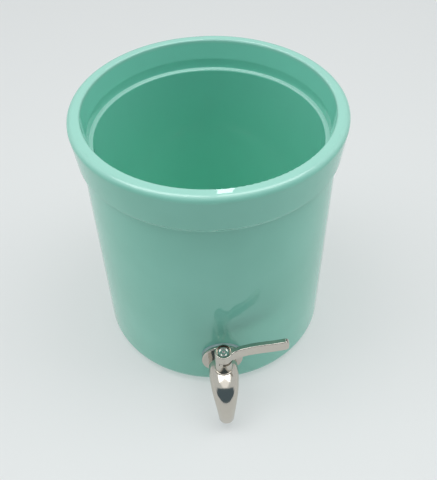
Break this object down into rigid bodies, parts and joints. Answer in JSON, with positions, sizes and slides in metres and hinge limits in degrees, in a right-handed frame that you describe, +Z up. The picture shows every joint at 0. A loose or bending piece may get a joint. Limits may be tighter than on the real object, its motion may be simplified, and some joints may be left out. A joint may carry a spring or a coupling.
{
  "type": "ceramic crock fermenter",
  "caption": "Straight-sided glazed ceramic fermenting crock with a tapered collar, an inner lid ledge, and a stainless quarter-turn tap with a side lever near the foot.",
  "frame": {"origin": "centre of the foot ring, on the plane that the crock stands on", "axes": "+Z up along the crock's axis; the tap points along -Y; the lever points along +X at rest, when the tap is shut"},
  "size_m": [0.219, 0.2621, 0.232],
  "materials": {
    "glaze": "gloss glaze, pale green-blue",
    "polished_steel": "polished stainless",
    "lever_steel": "polished stainless casting",
    "screw_steel": "plain stainless",
    "turned_steel": "turned stainless",
    "silicone": "grey silicone",
    "ptfe": "white PTFE",
    "black_rubber": "black nitrile"
  },
  "bodies": {
    "crock_and_tap": {"crock": "glaze", "outer_gasket": "silicone", "inner_gasket": "silicone", "flange_plate": "polished_steel", "threaded_shank": "turned_steel", "shank_seal_ring": "ptfe", "backing_washer": "turned_steel", "lock_nut": "turned_steel", "valve_body": "polished_steel", "rear_seat": "ptfe", "front_seat": "ptfe", "thrust_washer": "ptfe", "bonnet_nut": "turned_steel"},
    "lever": {"valve_ball": "turned_steel", "valve_stem": "turned_steel", "lower_stem_o_ring": "black_rubber", "upper_stem_o_ring": "black_rubber", "lever_handle": "lever_steel", "spring_washer": "turned_steel", "handle_screw": "screw_steel"}
  },
  "joints": [
    {"name": "lever_turn", "type": "hinge", "parent": "crock_and_tap", "child": "lever", "pos_m": [0, -0.1223, 0.0426], "axis": [0, 0, -1], "range_deg": [0, 90]}
  ]
}
